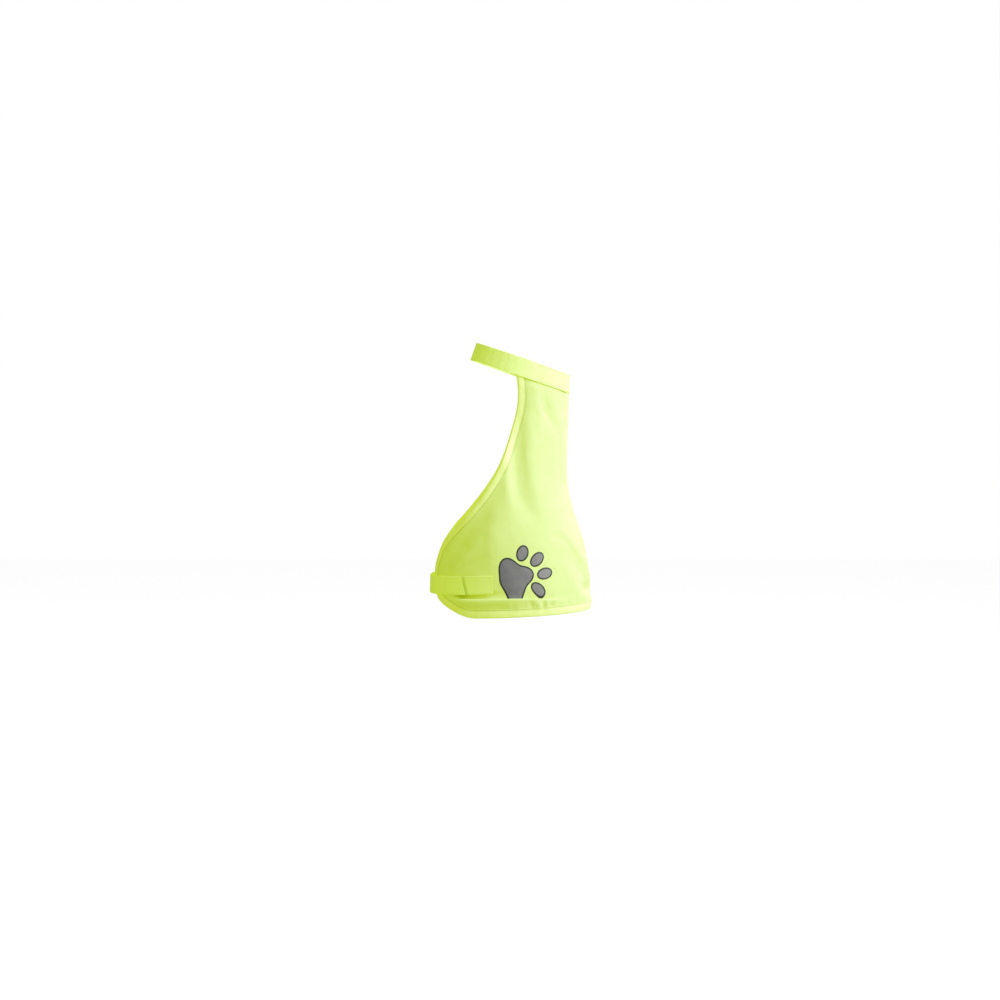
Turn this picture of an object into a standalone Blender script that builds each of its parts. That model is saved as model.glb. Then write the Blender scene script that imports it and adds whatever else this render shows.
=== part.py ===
"""Dog safety vest, worn by a dog that stands upright: a high-visibility cape that wraps the back and
flanks, a neck strap, and a belly strap that closes with hook and loop on the wearer's left flank.

Each cloth piece is cut as a flat outline, filled with triangles, wrapped on one torso form and given
its wall by a Solidify modifier. Flat places are (angle, along): the angle in degrees round the torso,
0 at the spine and growing towards the wearer's left, and the height in mm along the spine from the
hem. The shapes are worked out in mm and built in metres, +Z towards the head, +X out of the spine,
-Y to the wearer's left. The origin is the centre of the neck opening.
"""

import math

import bpy
from mathutils import Vector
from mathutils.geometry import delaunay_2d_cdt

MM = 0.001

# The torso form that the cloth is wrapped on, a row for each station from the hem to the neckline.
# "along" is the height on the spine, back and belly are the two ends of the section's long axis, and
# "edge_angle" is how far round the torso the cape reaches at that station.
STATION_COLUMNS = ("along", "back_x", "back_z", "belly_x", "belly_z", "half_width", "edge_angle")
STATIONS = (
    (0, 112, -411, -155, -422, 100, 132),
    (54, 109, -357, -154, -373, 101, 160),
    (109, 98, -302, -151, -312, 101, 152.5),
    (164, 81, -247, -144, -246, 97, 119.5),
    (214, 71, -197, -133, -182, 91, 98.5),
    (269, 71, -142, -118, -112, 84, 89.5),
    (329, 72, -82, -98, -42, 77, 87),
    (385, 74, -26, -74, 26, 70, 101),
)
NECKLINE = 385
CORNER_ANGLE = 16
CORNER_HEIGHT = 36

# Walls, and the gap between pieces that are sewn together.
GAP = 0.3
CLOTH = 1.2
TAPE = 1.0
WEBBING = 1.5
HOOK_AND_LOOP = 1.2
FILM = 1.0

# Folds of the cape, a row each: where it starts and ends, how far it stands out (a trough is
# negative) and half its breadth, in degrees and mm.
FOLD_COLUMNS = ("from_angle", "from_along", "to_angle", "to_along", "height", "breadth")
FOLDS = (
    (78, 330, 73, 200, -5.5, 14),
    (87, 238, 85, 196, 2.5, 10),
    (104, 170, 140, 97, -5.0, 13),
    (56, 340, 38, 295, -2.5, 12),
    (34, 82, 12, 38, -4.5, 13),
    (-80, 315, -68, 180, -5.0, 14),
    (-108, 165, -142, 102, -4.5, 13),
    (-46, 86, -18, 34, -3.5, 13),
)
DEGREE_MM = 1.8

# The pleat that is pushed up above the hem on the left flank, a row for each place along its ridge:
# the band below it rises slowly to the ridge, and the cloth drops back steeply above it.
PLEAT_COLUMNS = ("angle", "along", "height")
PLEAT = (
    (136, 34.5, 0.0),
    (125, 33.5, 5.0),
    (106, 33, 6.0),
    (84, 31.5, 5.5),
    (64, 28, 3.0),
    (46, 24, 0.0),
)
PLEAT_DROP = 4
PLEAT_FOOT = 10.5

BINDING_WIDTH = 13.5

STRAP_WIDTH = 30
BELLY_ALONG = 56
BELLY_END, BELLY_ROOT = 126, 231
BELLY_SLANT = 5
LOOP_FROM, LOOP_TO = 102, 143
HOOK_FROM, HOOK_TO = 127, 142
PATCH_INSET = 2

PATCH_WIDTH = STRAP_WIDTH - 2 * PATCH_INSET

# How far the inner face of each strap lies off the form, a row for each place along it.
LOOP_LIFT = CLOTH + GAP
HOOK_LIFT = LOOP_LIFT + HOOK_AND_LOOP + GAP
OVER_LIFT = HOOK_LIFT + HOOK_AND_LOOP + GAP
BINDING_LIFT = CLOTH + TAPE + 2 * GAP
LIFT_COLUMNS = ("angle", "lift")
BELLY_LIFTS = (
    (BELLY_END, OVER_LIFT),
    (154, OVER_LIFT),
    (172, 1.0),
    (188, 1.0),
    (196, BINDING_LIFT),
    (214, BINDING_LIFT),
    (220, LOOP_LIFT),
    (BELLY_ROOT, LOOP_LIFT),
)
NECK_CLOSURE = 15
NECK_UNDER, NECK_OVER = -180 - NECK_CLOSURE, 180 + NECK_CLOSURE
NECK_PATCH_FROM, NECK_PATCH_TO = 180 - NECK_CLOSURE + 2, 180 + NECK_CLOSURE - 2
NECK_LOOP_LIFT = WEBBING + GAP
NECK_HOOK_LIFT = NECK_LOOP_LIFT + HOOK_AND_LOOP + GAP
NECK_STACK = NECK_HOOK_LIFT + HOOK_AND_LOOP + GAP
NECK_LIFTS = (
    (NECK_UNDER, 0.0),
    (-140, 0.0),
    (-112, BINDING_LIFT),
    (-80, BINDING_LIFT),
    (-72, LOOP_LIFT),
    (72, LOOP_LIFT),
    (80, BINDING_LIFT),
    (112, BINDING_LIFT),
    (155, NECK_STACK),
    (NECK_OVER, NECK_STACK),
)

# The reflective paw: a pad whose radius is a sum of waves round its middle, and four oval toes.
PAW_ANGLE, PAW_ALONG = 88, 64
PAD_WAVES = (29, 2.5, -3.2, 3.5, 2.9)
PAD_TILT = 14
TOE_COLUMNS = ("across", "up", "long", "short", "tilt")
TOES = (
    (18.5, 39.5, 27, 20, 60),
    (42.5, 28.5, 29, 19, 38),
    (53, 5, 28, 19, 12),
    (39.5, -20, 29, 19, -48),
)

# Spacing of the points that carry the shapes.
PANEL_SPACING = 12
CORNER_STEPS = 7
ROW_DEGREES = 7
PATCH_SPACING = 9
FILM_SPACING = 9
STRAP_DEGREES = 5
STRAP_ACROSS = (-0.5, 0, 0.5)
PAD_SIDES = 36
TOE_SIDES = 18

HIGH_VIS = (0.72, 0.93, 0.05)
HIGH_VIS_TAPE = (0.70, 0.90, 0.05)
REFLECTIVE_GREY = (0.22, 0.22, 0.21)


def named(columns, rows):
    """The rows of a table as dictionaries."""
    return [dict(zip(columns, row)) for row in rows]


STATION_ROWS = named(STATION_COLUMNS, STATIONS)
FOLD_ROWS = named(FOLD_COLUMNS, FOLDS)
PLEAT_ROWS = named(PLEAT_COLUMNS, reversed(PLEAT))


def ease(t):
    """0 below 0, 1 above 1 and smooth between."""
    t = min(max(t, 0.0), 1.0)
    return t * t * (3 - 2 * t)


def through(rows, key, column, at):
    """A smooth curve through one column of a table, straight past its ends."""
    knots = [row[key] for row in rows]
    values = [row[column] for row in rows]
    last = len(knots) - 1

    def slope(i):
        before, after = max(i - 1, 0), min(i + 1, last)
        return (values[after] - values[before]) / (knots[after] - knots[before])

    if at <= knots[0]:
        return values[0] + slope(0) * (at - knots[0])
    if at >= knots[last]:
        return values[last] + slope(last) * (at - knots[last])
    i = max(k for k in range(last) if knots[k] <= at)
    span = knots[i + 1] - knots[i]
    t = (at - knots[i]) / span
    return (
        values[i] * (1 + 2 * t) * (1 - t) ** 2
        + values[i + 1] * t * t * (3 - 2 * t)
        + span * (slope(i) * t * (1 - t) ** 2 - slope(i + 1) * t * t * (1 - t))
    )


def form_point(angle, along):
    """A point on the torso form."""
    back_x, back_z, belly_x, belly_z, half_width = (
        through(STATION_ROWS, "along", column, along) for column in STATION_COLUMNS[1:6]
    )
    middle = Vector(((back_x + belly_x) / 2, 0, (back_z + belly_z) / 2))
    to_back = Vector(((back_x - belly_x) / 2, 0, (back_z - belly_z) / 2))
    turn = math.radians(angle)
    return middle + math.cos(turn) * to_back - Vector((0, half_width * math.sin(turn), 0))


def steps(surface, angle, along):
    """A surface's change in place for one degree of angle and for one mm of along."""
    round_it = surface(angle + 0.5, along) - surface(angle - 0.5, along)
    up_it = surface(angle, along + 0.5) - surface(angle, along - 0.5)
    return round_it, up_it


def outward(surface, angle, along):
    """The direction square to a surface, out of the torso."""
    round_it, up_it = steps(surface, angle, along)
    return up_it.cross(round_it).normalized()


def fold_height(angle, along):
    """How far the cape's folds stand out of the form at a flat place."""
    height = pleat_height(angle, along)
    for fold in FOLD_ROWS:
        run = Vector((
            (fold["to_angle"] - fold["from_angle"]) * DEGREE_MM,
            fold["to_along"] - fold["from_along"],
        ))
        place = Vector((
            (angle - fold["from_angle"]) * DEGREE_MM,
            along - fold["from_along"],
        ))
        share = place.dot(run) / run.length_squared
        off = (place - run * min(max(share, 0.0), 1.0)).length
        height += fold["height"] * math.exp(-((off / fold["breadth"]) ** 2))
    return height


def pleat_line(angle):
    return through(PLEAT_ROWS, "angle", "along", angle)


def pleat_height(angle, along):
    if not PLEAT_ROWS[0]["angle"] < angle < PLEAT_ROWS[-1]["angle"]:
        return 0.0
    full = through(PLEAT_ROWS, "angle", "height", angle)
    ridge = pleat_line(angle)
    if along > ridge:
        return full * ease(1 - (along - ridge) / PLEAT_DROP)
    return full * ease((along - PLEAT_FOOT) / (ridge - PLEAT_FOOT))


def draped_point(angle, along):
    """A point on the cape's inner face: the form with its folds."""
    return form_point(angle, along) + outward(form_point, angle, along) * fold_height(angle, along)


def cloth_point(angle, along, lift):
    """A point that lies lift mm outside the cape's inner face."""
    return draped_point(angle, along) + outward(draped_point, angle, along) * lift


def moved(angle, along, across_mm, up_mm):
    """The flat place that lies some real mm across, towards the spine, and up from another."""
    round_it, up_it = steps(form_point, angle, along)
    return angle - across_mm / round_it.length, along + up_mm / up_it.length


def edge_angle(along):
    return through(STATION_ROWS, "along", "edge_angle", along)


def belly_line(angle):
    """The middle of the belly strap."""
    return BELLY_ALONG


def neck_line(angle):
    """The middle of the neck strap, whose upper edge is the neckline all round."""
    return moved(angle, NECKLINE, 0, -STRAP_WIDTH / 2)[1]


def spread(low, high, spacing):
    """Even steps from low to high, about spacing apart."""
    count = max(1, math.ceil(abs(high - low) / spacing))
    return [low + (high - low) * i / count for i in range(count + 1)]


def front_edge():
    """The cape's left edge from the neckline down, its rounded corner and half its hem."""
    side = [(edge_angle(at), at) for at in spread(NECKLINE, CORNER_HEIGHT, PANEL_SPACING)]
    corner = []
    for i in range(1, CORNER_STEPS + 1):
        turn = math.pi / 2 * i / CORNER_STEPS
        at = CORNER_HEIGHT * (1 - math.sin(turn))
        corner.append((edge_angle(at) - CORNER_ANGLE * (1 - math.cos(turn)), at))
    hem = [(angle, 0) for angle in spread(corner[-1][0], 0, PANEL_SPACING / DEGREE_MM)]
    return side + corner + hem[1:]


def mirrored(half):
    """A left half and its copy on the right, as one line over the spine."""
    return half + [(-angle, along) for angle, along in reversed(half[:-1])]


def inset(outline, distance):
    """An open line moved by real mm into the cloth, which lies on its left-hand side. Its ends stay
    on the neckline."""
    out = []
    last = len(outline) - 1
    for i, (angle, along) in enumerate(outline):
        before = outline[i - 1] if i > 0 else (angle, along + 1)
        after = outline[i + 1] if i < last else (angle, along + 1)
        if i == 0:
            after = (angle, along - 1)
        if i == last:
            before = (angle, along - 1)
        round_it, up_it = (step.length for step in steps(form_point, angle, along))
        run = Vector(((after[0] - before[0]) * round_it, (after[1] - before[1]) * up_it)).normalized()
        out.append((angle + distance * run.y / round_it, along - distance * run.x / up_it))
    return out


def inside(place, outline):
    """Whether a flat place lies inside a closed outline."""
    found = False
    for (x0, y0), (x1, y1) in zip(outline, outline[1:] + outline[:1]):
        if (y0 > place[1]) != (y1 > place[1]):
            if place[0] < x0 + (place[1] - y0) / (y1 - y0) * (x1 - x0):
                found = not found
    return found


def filled(outline, spacing, lines=()):
    """Triangles that fill a flat outline: its places and faces. Lines are kept as edges."""
    angles = [place[0] for place in outline]
    heights = [place[1] for place in outline]
    grid = [
        (angle, along)
        for along in spread(min(heights), max(heights), spacing)
        for angle in spread(min(angles), max(angles), spacing / DEGREE_MM)
    ]
    drawn = outline + [place for line in lines for place in line]
    near = 0.5 * spacing

    def clear(place):
        return inside(place, outline) and all(
            math.hypot((place[0] - angle) * DEGREE_MM, place[1] - along) > near
            for angle, along in drawn
        )

    edges = [(i, (i + 1) % len(outline)) for i in range(len(outline))]
    first = len(outline)
    for line in lines:
        edges += [(first + i, first + i + 1) for i in range(len(line) - 1)]
        first += len(line)
    places = drawn + [place for place in grid if clear(place)]
    flat = [Vector((angle * DEGREE_MM, along)) for angle, along in places]
    kept, _, faces, *_ = delaunay_2d_cdt(flat, edges, [], 1, 1e-4)
    return [(place.x / DEGREE_MM, place.y) for place in kept], [tuple(face) for face in faces]


def shell(name, points, faces, wall, color):
    """A node from an open surface, given its wall half on each side of it by Solidify."""
    mesh = bpy.data.meshes.new(name)
    mesh.from_pydata([point * MM for point in points], [], faces)
    mesh.shade_smooth()
    node = bpy.data.objects.new(name, mesh)
    vest.objects.link(node)
    wall_modifier = node.modifiers.new("wall", "SOLIDIFY")
    wall_modifier.thickness = wall * MM
    wall_modifier.offset = 0
    wall_modifier.use_even_offset = True
    node.data.materials.append(finish(name, color))


def finish(name, color):
    material = bpy.data.materials.new(name)
    material.use_nodes = True
    surface = material.node_tree.nodes["Principled BSDF"]
    surface.inputs["Base Color"].default_value = (*color, 1)
    surface.inputs["Roughness"].default_value = 0.7
    surface.inputs["Metallic"].default_value = 0.0
    return material


def strips(rows):
    """Triangle pairs between rows of points that follow each other in one list. Their diagonals
    mirror each other over the middle row, so that the two layers of a fold have the same facets."""
    count = len(rows[0])
    faces = []
    for row in range(len(rows) - 1):
        for i in range(row * count, (row + 1) * count - 1):
            j = i + count
            if row < (len(rows) - 1) / 2:
                faces += [(i, j, j + 1), (i, j + 1, i + 1)]
            else:
                faces += [(i, j, i + 1), (i + 1, j, j + 1)]
    return faces


def cloth_piece(name, outline, spacing, lift, wall, color):
    """A piece cut to a flat outline and wrapped: its inner face lies lift mm off the cape's."""
    places, faces = filled(outline, spacing)
    points = [cloth_point(*place, lift + wall / 2) for place in places]
    shell(name, points, faces, wall, color)


def back_panel():
    """The cape: a strip under the binding, and a field with rows of points along the pleat."""
    edge = mirrored(front_edge())
    ring = inset(edge, BINDING_WIDTH)
    top_row = [(angle, NECKLINE) for angle in spread(ring[-1][0], ring[0][0], ROW_DEGREES)[1:-1]]
    pleat = [
        [
            (angle, pleat_line(angle) + off)
            for angle in spread(PLEAT_ROWS[0]["angle"], PLEAT_ROWS[-1]["angle"], ROW_DEGREES)
        ]
        for off in (-PLEAT_DROP / 2, 0, PLEAT_DROP / 2, PLEAT_DROP)
    ]
    places, faces = filled(ring + top_row, PANEL_SPACING, pleat)
    points = [cloth_point(*place, CLOTH / 2) for place in places + edge]
    first = len(places)
    for i in range(len(edge) - 1):
        faces += [(first + i, i, first + i + 1), (first + i + 1, i, i + 1)]
    shell("back_panel", points, faces, CLOTH, HIGH_VIS)


def edge_binding():
    """Tape folded over the cape's edge, from under the neck strap down, round the hem and up."""
    edge = mirrored(front_edge())
    off = GAP + TAPE / 2
    inner = inset(edge, BINDING_WIDTH)
    outer = inset(edge, -off)
    rails = (
        [cloth_point(*place, -off) for place in inner],
        [cloth_point(*place, -off) for place in outer],
        [cloth_point(*place, CLOTH + off) for place in outer],
        [cloth_point(*place, CLOTH + off) for place in inner],
    )
    points = [point for rail in rails for point in rail]
    shell("edge_binding", points, strips(rails), TAPE, HIGH_VIS_TAPE)


def strap(name, first, last, centre, lifts, slant=0.0):
    """Webbing of even width wrapped round the form from one angle to another."""
    lift_rows = named(LIFT_COLUMNS, lifts)

    def lift_at(angle):
        for low, high in zip(lift_rows, lift_rows[1:]):
            if angle <= high["angle"]:
                share = ease((angle - low["angle"]) / (high["angle"] - low["angle"]))
                return low["lift"] + (high["lift"] - low["lift"]) * share
        return lift_rows[-1]["lift"]

    columns = []
    for angle in spread(first, last, STRAP_DEGREES):
        column = []
        for across in STRAP_ACROSS:
            place = moved(angle, centre(angle), 0, across * STRAP_WIDTH)
            if angle == first:
                place = moved(*place, -across * slant, 0)
            column.append(cloth_point(*place, lift_at(angle) + WEBBING / 2))
        columns.append(column)
    points = [point for column in columns for point in column]
    shell(name, points, strips(columns), WEBBING, HIGH_VIS_TAPE)


def patch(name, first, last, centre, lift, width):
    """A rectangle of hook or loop tape between two angles."""
    rows = [
        [moved(angle, centre(angle), 0, across * width) for across in STRAP_ACROSS]
        for angle in spread(first, last, PATCH_SPACING / DEGREE_MM)
    ]
    points = [cloth_point(*place, lift + HOOK_AND_LOOP / 2) for row in rows for place in row]
    shell(name, points, strips(rows), HOOK_AND_LOOP, HIGH_VIS_TAPE)


def rotated(x, y, tilt):
    turn = math.radians(tilt)
    return (
        x * math.cos(turn) - y * math.sin(turn),
        x * math.sin(turn) + y * math.cos(turn),
    )


def toe_shape(long, short, tilt):
    turns = (2 * math.pi * i / TOE_SIDES for i in range(TOE_SIDES))
    return [rotated(long / 2 * math.cos(t), short / 2 * math.sin(t), tilt) for t in turns]


def pad_shape():
    shape = []
    for i in range(PAD_SIDES):
        turn = 2 * math.pi * i / PAD_SIDES
        radius = sum(wave * math.cos(n * turn) for n, wave in enumerate(PAD_WAVES))
        shape.append(rotated(radius * math.cos(turn), radius * math.sin(turn), PAD_TILT))
    return shape


def cut_above(shape, floor):
    """The part of a closed shape above a slanted line, with a straight lower side."""
    out = []
    for (x0, y0), (x1, y1) in zip(shape, shape[1:] + shape[:1]):
        over0, over1 = y0 - floor(x0), y1 - floor(x1)
        if over0 >= 0:
            out.append((x0, y0))
        if (over0 < 0) != (over1 < 0):
            share = over0 / (over0 - over1)
            out.append((x0 + (x1 - x0) * share, y0 + (y1 - y0) * share))
    return out


def divided(shape, spacing):
    """A closed shape with points added on its long sides."""
    out = []
    for (x0, y0), (x1, y1) in zip(shape, shape[1:] + shape[:1]):
        count = max(1, round(math.hypot(x1 - x0, y1 - y0) / spacing))
        out += [(x0 + (x1 - x0) * i / count, y0 + (y1 - y0) * i / count) for i in range(count)]
    return out


def film_piece(name, shape, across, up):
    """One piece of the reflective print, cut off where it goes behind the pleat's ridge."""
    def pleat_above(x):
        angle = moved(PAW_ANGLE, PAW_ALONG, x, 0)[0]
        return pleat_line(angle) + PLEAT_DROP - PAW_ALONG

    placed = cut_above([(x + across, y + up) for x, y in shape], pleat_above)
    outline = [moved(PAW_ANGLE, PAW_ALONG, x, y) for x, y in divided(placed, FILM_SPACING)]
    cloth_piece(name, outline, FILM_SPACING, CLOTH + GAP, FILM, REFLECTIVE_GREY)


def paw():
    film_piece("paw_pad", pad_shape(), 0, 0)
    for number, toe in enumerate(named(TOE_COLUMNS, TOES), start=1):
        shape = toe_shape(toe["long"], toe["short"], toe["tilt"])
        film_piece(f"paw_toe_{number}", shape, toe["across"], toe["up"])


for old in list(bpy.data.objects):
    bpy.data.objects.remove(old)
vest = bpy.data.collections.new("dog_safety_vest")
bpy.context.scene.collection.children.link(vest)

back_panel()
edge_binding()
strap("neck_strap", NECK_UNDER, NECK_OVER, neck_line, NECK_LIFTS)
strap("belly_strap", BELLY_END, BELLY_ROOT, belly_line, BELLY_LIFTS, BELLY_SLANT)
patch("belly_loop", LOOP_FROM, LOOP_TO, belly_line, LOOP_LIFT, STRAP_WIDTH)
patch("belly_hook", HOOK_FROM, HOOK_TO, belly_line, HOOK_LIFT, PATCH_WIDTH)
patch("neck_loop", NECK_PATCH_FROM, NECK_PATCH_TO, neck_line, NECK_LOOP_LIFT, PATCH_WIDTH)
patch("neck_hook", NECK_PATCH_FROM, NECK_PATCH_TO, neck_line, NECK_HOOK_LIFT, PATCH_WIDTH)
paw()
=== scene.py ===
"""Looks of the dog safety vest: a high-visibility cape of thin polyester, bound with tape and worn by a
dog that stands upright.

Flat places are (angle, along), as in the CAD source: the angle in degrees round the torso, 0 at the
spine and growing towards the wearer's left, and the height in mm along the spine from the hem. Shapes
are worked out in mm on the CAD's torso form and built in metres.
"""

import math

import bpy
import numpy as np
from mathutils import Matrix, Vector
from mathutils.geometry import delaunay_2d_cdt


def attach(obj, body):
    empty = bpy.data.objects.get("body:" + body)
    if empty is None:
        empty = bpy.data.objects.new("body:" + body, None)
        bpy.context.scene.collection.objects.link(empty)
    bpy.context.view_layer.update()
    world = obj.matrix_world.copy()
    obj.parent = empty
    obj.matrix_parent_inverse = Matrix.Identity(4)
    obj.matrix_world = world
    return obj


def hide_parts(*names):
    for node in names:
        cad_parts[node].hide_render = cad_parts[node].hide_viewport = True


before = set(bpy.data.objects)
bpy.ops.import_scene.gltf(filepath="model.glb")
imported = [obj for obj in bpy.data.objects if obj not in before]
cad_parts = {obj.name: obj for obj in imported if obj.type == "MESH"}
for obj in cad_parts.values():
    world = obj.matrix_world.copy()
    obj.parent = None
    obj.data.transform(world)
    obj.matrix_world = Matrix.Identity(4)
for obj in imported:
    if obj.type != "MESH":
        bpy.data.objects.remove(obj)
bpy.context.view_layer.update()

MM = 0.001

# ---- sizes, as in the CAD source

STATION_COLUMNS = ("along", "back_x", "back_z", "belly_x", "belly_z", "half_width", "edge_angle")
STATIONS = (
    (0, 112, -411, -155, -422, 100, 132),
    (54, 109, -357, -154, -373, 101, 160),
    (109, 98, -302, -151, -312, 101, 152.5),
    (164, 81, -247, -144, -246, 97, 119.5),
    (214, 71, -197, -133, -182, 91, 98.5),
    (269, 71, -142, -118, -112, 84, 89.5),
    (329, 72, -82, -98, -42, 77, 87),
    (385, 74, -26, -74, 26, 70, 101),
)
NECKLINE = 385
CORNER_ANGLE = 16
CORNER_HEIGHT = 36
DEGREE_MM = 1.8  # about one degree's length, for breadths and spacings

CLOTH = 1.2  # the CAD's wall: its outer face is where the cloth's outer face is

PLEAT_COLUMNS = ("angle", "along", "height")
PLEAT = (
    (46, 24, 0.0),
    (64, 28, 3.0),
    (84, 31.5, 5.5),
    (106, 33, 6.0),
    (125, 33.5, 5.0),
    (136, 34.5, 0.0),
)

# The belly strap's end reaches a little further here than in the CAD, and slants more.
STRAP_WIDTH = 30
BELLY_ALONG = 56
BELLY_END, BELLY_ROOT = 123.5, 231
BELLY_SLANT = 7.5
LOOP_FROM, LOOP_TO = 102, 143
HOOK_FROM, HOOK_TO = 127, 142
PATCH_WIDTH = 26
NECK_CLOSURE = 15
NECK_UNDER, NECK_OVER = -180 - NECK_CLOSURE, 180 + NECK_CLOSURE
NECK_PATCH_FROM, NECK_PATCH_TO = 180 - NECK_CLOSURE + 2, 180 + NECK_CLOSURE - 2

PAW_ANGLE, PAW_ALONG = 88, 64
PAD_WAVES = (29, 2.5, -3.2, 3.5, 2.9)  # its radius, as the sizes of the waves that make it up
PAD_TILT = 14
TOE_COLUMNS = ("across", "up", "long", "short", "tilt")
TOES = (
    (18.5, 39.5, 27, 20, 60),
    (42.5, 28.5, 29, 19, 38),
    (53, 5, 28, 19, 12),
    (39.5, -20, 29, 19, -48),
)

# ---- sizes of the looks

SHELL = 0.6  # the cape's real thickness; its middle lies just inside the CAD's outer face
SHELL_LIFT = CLOTH - SHELL / 2

# Creases: a name, half the breadth towards smaller and towards larger angles, and a line of
# (angle, along, height). A trough's height is negative.
CREASES = (
    # the folds that the CAD has too
    ("shoulder_trough", 17, 16,
     ((87, 332, -5.0), (86, 300, -7.0), (83.5, 256, -6.6), (80, 214, -5.2), (74.5, 178, -4.0),
      (68, 150, -2.0), (62, 122, -0.3))),
    ("shoulder_ridge", 8, 9, ((91, 250, 0.8), (89, 228, 3.2), (87, 202, 2.8), (85, 170, 0.6))),
    ("flank_trough", 14, 16,
     ((97, 206, -0.2), (104, 176, -1.3), (113, 146, -3.2), (127, 116, -4.8), (142, 94, -3.4))),
    ("neck_trough", 10, 12, ((60, 342, -1.0), (54, 322, -2.8), (42, 300, -2.0), (34, 284, -0.3))),
    ("rump_trough", 12, 14, ((40, 92, -1.5), (32, 74, -4.2), (14, 42, -4.5), (6, 26, -1.5))),
    ("right_shoulder_trough", 15, 12,
     ((-84, 322, -4.0), (-79, 280, -7.0), (-74, 222, -6.5), (-67, 176, -3.0), (-61, 138, -0.4))),
    ("right_flank_trough", 13, 12,
     ((-100, 192, -0.6), (-110, 158, -4.5), (-126, 124, -6.0), (-142, 98, -3.0))),
    ("right_rump_trough", 12, 10, ((-54, 96, -0.8), (-43, 78, -4.5), (-24, 42, -4.8), (-14, 28, -1.0))),
    # finer ones, on the left as the photograph shows them
    ("shoulder_edge", 20, 15,
     ((68, 262, 0.4), (63.5, 216, 1.4), (59.5, 182, 1.7), (55, 154, 1.2), (51, 126, 0.1))),
    ("shoulder_pinch", 4, 6, ((80, 286, -0.1), (77, 256, -0.5), (73, 222, -0.5), (70, 200, -0.1))),
    ("edge_roll", 6, 9,
     ((90, 262, 0.2), (96, 226, 1.6), (108, 182, 1.8), (126, 140, 1.4), (142, 112, 0.3))),
    ("flank_drop", 14, 8, ((99, 166, 0.1), (102, 140, 1.1), (103, 108, 1.5), (103, 80, 0.5))),
    ("flank_fan_1", 4, 6, ((116, 150, -0.2), (126, 124, -1.2), (140, 96, -0.6))),
    ("flank_fan_2", 5, 5, ((112, 124, 0.2), (122, 104, 1.2), (134, 84, 0.8))),
    ("flank_fan_3", 4, 5, ((108, 100, -0.2), (118, 88, -0.9), (130, 78, -0.5))),
    ("rump_arc", 6, 5,
     ((56, 126, -0.2), (48, 124, -1.0), (40, 116, -1.2), (33, 94, -1.2), (24, 74, -0.9), (8, 60, -0.2))),
    ("rump_arc_ridge", 6, 8, ((52, 136, 0.1), (40, 130, 0.9), (30, 106, 1.0), (20, 86, 0.5))),
    ("rump_tuck", 8, 9, ((33, 52, -0.4), (25, 40, -3.8), (15, 33, -5.5), (7, 31, -3.0), (-3, 30, -0.8))),
    ("rump_hem", 10, 10, ((24, -6, -0.4), (8, -6, -4.5), (-8, -6, -4.5), (-24, -6, -0.4))),
    ("neck_pinch", 4, 5, ((64, 330, -0.2), (56, 316, -1.3), (46, 303, -0.8), (40, 294, -0.1))),
    ("neck_crest", 6, 6, ((70, 344, 0.2), (62, 310, 1.1), (60, 286, 0.3))),
    ("saddle", 9, 9, ((18, 232, -0.2), (22, 206, -1.3), (34, 186, -1.0), (46, 176, -0.2))),
    ("spine_dip", 8, 9, ((2, 262, -0.2), (-3, 226, -1.0), (2, 190, -0.6))),
    ("upper_back", 10, 10, ((26, 318, 0.1), (24, 288, 1.0), (28, 256, 0.4))),
    # similar ones on the right
    ("shoulder_edge", 5, 20, ((-64, 250, 0.4), (-60, 214, 2.2), (-57, 176, 2.2), (-50, 128, 0.4))),
    ("edge_roll", 9, 6,
     ((-92, 252, 0.2), (-99, 214, 1.5), (-112, 176, 1.7), (-130, 134, 1.0), (-144, 112, 0.2))),
    ("flank_drop", 7, 11, ((-92, 176, 0.3), (-96, 138, 2.6), (-95, 100, 2.2), (-93, 70, 0.4))),
    ("flank_fan_1", 6, 4, ((-118, 142, -0.2), (-130, 118, -1.2), (-142, 98, -0.5))),
    ("flank_fan_2", 5, 5, ((-112, 112, 0.2), (-124, 96, 1.1), (-136, 80, 0.5))),
    ("arc", 5, 6,
     ((-70, 122, -0.2), (-58, 116, -1.6), (-47, 98, -1.8), (-36, 68, -1.0), (-20, 56, -0.1))),
    ("tuck", 6, 5, ((-34, 46, -0.4), (-24, 30, -1.8), (-16, 16, -1.0))),
    ("neck_pinch", 5, 4, ((-58, 334, -0.2), (-50, 314, -1.3), (-42, 298, -0.4))),
    ("hem_roll", 7, 8, ((-66, 54, 0.3), (-84, 38, 2.6), (-106, 31, 3.0), (-128, 34, 0.8))),
    ("band", 6, 6, ((-62, 36, -0.3), (-84, 20, -2.0), (-110, 17, -1.9), (-128, 19, -0.3))),
)

# Small puckers that the hem's seam draws in: angle, height and depth, all about as long.
PUCKERS = (
    (98, 17, -0.5), (91, 17, 0.5), (85.5, 17, 1.2), (80, 20, -0.7), (76.5, 21, -2.4), (71, 19, 1.3),
    (67.5, 20, -2.3), (64.5, 19, 1.0), (61.5, 19, -1.4), (54, 17, -0.5), (46, 16, -0.8), (37, 15, -0.5),
    (28, 15, -0.7), (12, 16, -0.6), (108, 16, -0.5), (117, 18, -0.7), (127, 17, -0.5), (3, 15, -0.6),
    (-9, 16, -0.9), (-23, 15, -0.6), (-35, 16, -1.0), (-44, 15, -0.5), (-57, 17, -0.9), (-69, 16, -0.7),
    (-83, 17, -1.0), (-97, 16, -0.6), (-109, 17, -0.9), (-121, 17, -0.6),
)
PUCKER_BREADTH, PUCKER_LENGTH = 2.6, 6.5

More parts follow.
